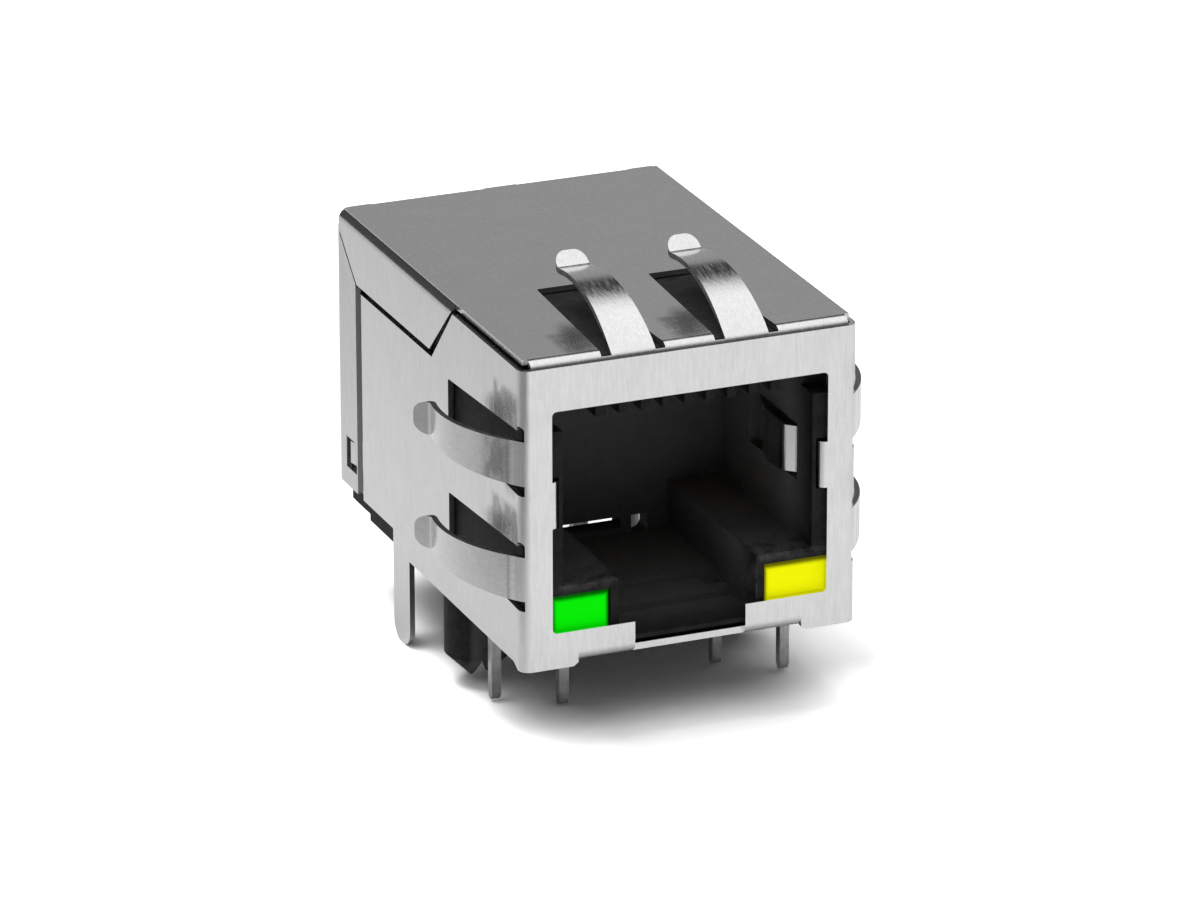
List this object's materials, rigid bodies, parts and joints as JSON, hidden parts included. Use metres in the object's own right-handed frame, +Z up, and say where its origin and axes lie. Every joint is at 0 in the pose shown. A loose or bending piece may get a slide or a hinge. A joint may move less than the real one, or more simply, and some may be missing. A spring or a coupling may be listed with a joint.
{
  "type": "board jack",
  "caption": "Shielded board jack for a modular data plug, latch side down, with spring fingers, locating posts and a signal lamp in each lower corner.",
  "frame": {"origin": "on the outer board's surface, midway between the two locating posts", "axes": "+X to the right seen from the front, +Y from the mouth to the back, +Z up from the board"},
  "size_m": [0.02, 0.0226, 0.0205],
  "materials": {
    "shield": "tin-plated sheet, satin, with a fine vertical grain",
    "housing": "black glass-filled moulding, slightly dusty",
    "carrier": "black moulding",
    "lamp_green": "tinted green lens",
    "lamp_yellow": "tinted yellow lens",
    "tinned_wire": "tin-plated, satin",
    "contact": "gold-plated spring bronze",
    "inner_board": "green laminate",
    "ferrite": "coated ferrite"
  },
  "bodies": {
    "root": {"shield": "shield", "housing": "housing", "lamp_green": "lamp_green", "lamp_yellow": "lamp_yellow", "green_lead_outer": "tinned_wire", "green_lead_inner": "tinned_wire", "yellow_lead_inner": "tinned_wire", "yellow_lead_outer": "tinned_wire", "contact_1": "contact", "contact_2": "contact", "contact_3": "contact", "contact_4": "contact", "contact_5": "contact", "contact_6": "contact", "contact_7": "contact", "contact_8": "contact", "contact_carrier": "carrier", "inner_board": "inner_board", "board_pin_1": "tinned_wire", "board_pin_2": "tinned_wire", "board_pin_3": "tinned_wire", "board_pin_4": "tinned_wire", "board_pin_5": "tinned_wire", "board_pin_6": "tinned_wire", "board_pin_7": "tinned_wire", "board_pin_8": "tinned_wire", "transformer_ring_1": "ferrite", "transformer_ring_2": "ferrite", "transformer_ring_3": "ferrite", "transformer_ring_4": "ferrite", "choke_ring_1": "ferrite", "choke_ring_2": "ferrite", "choke_ring_3": "ferrite", "choke_ring_4": "ferrite"}
  },
  "joints": []
}
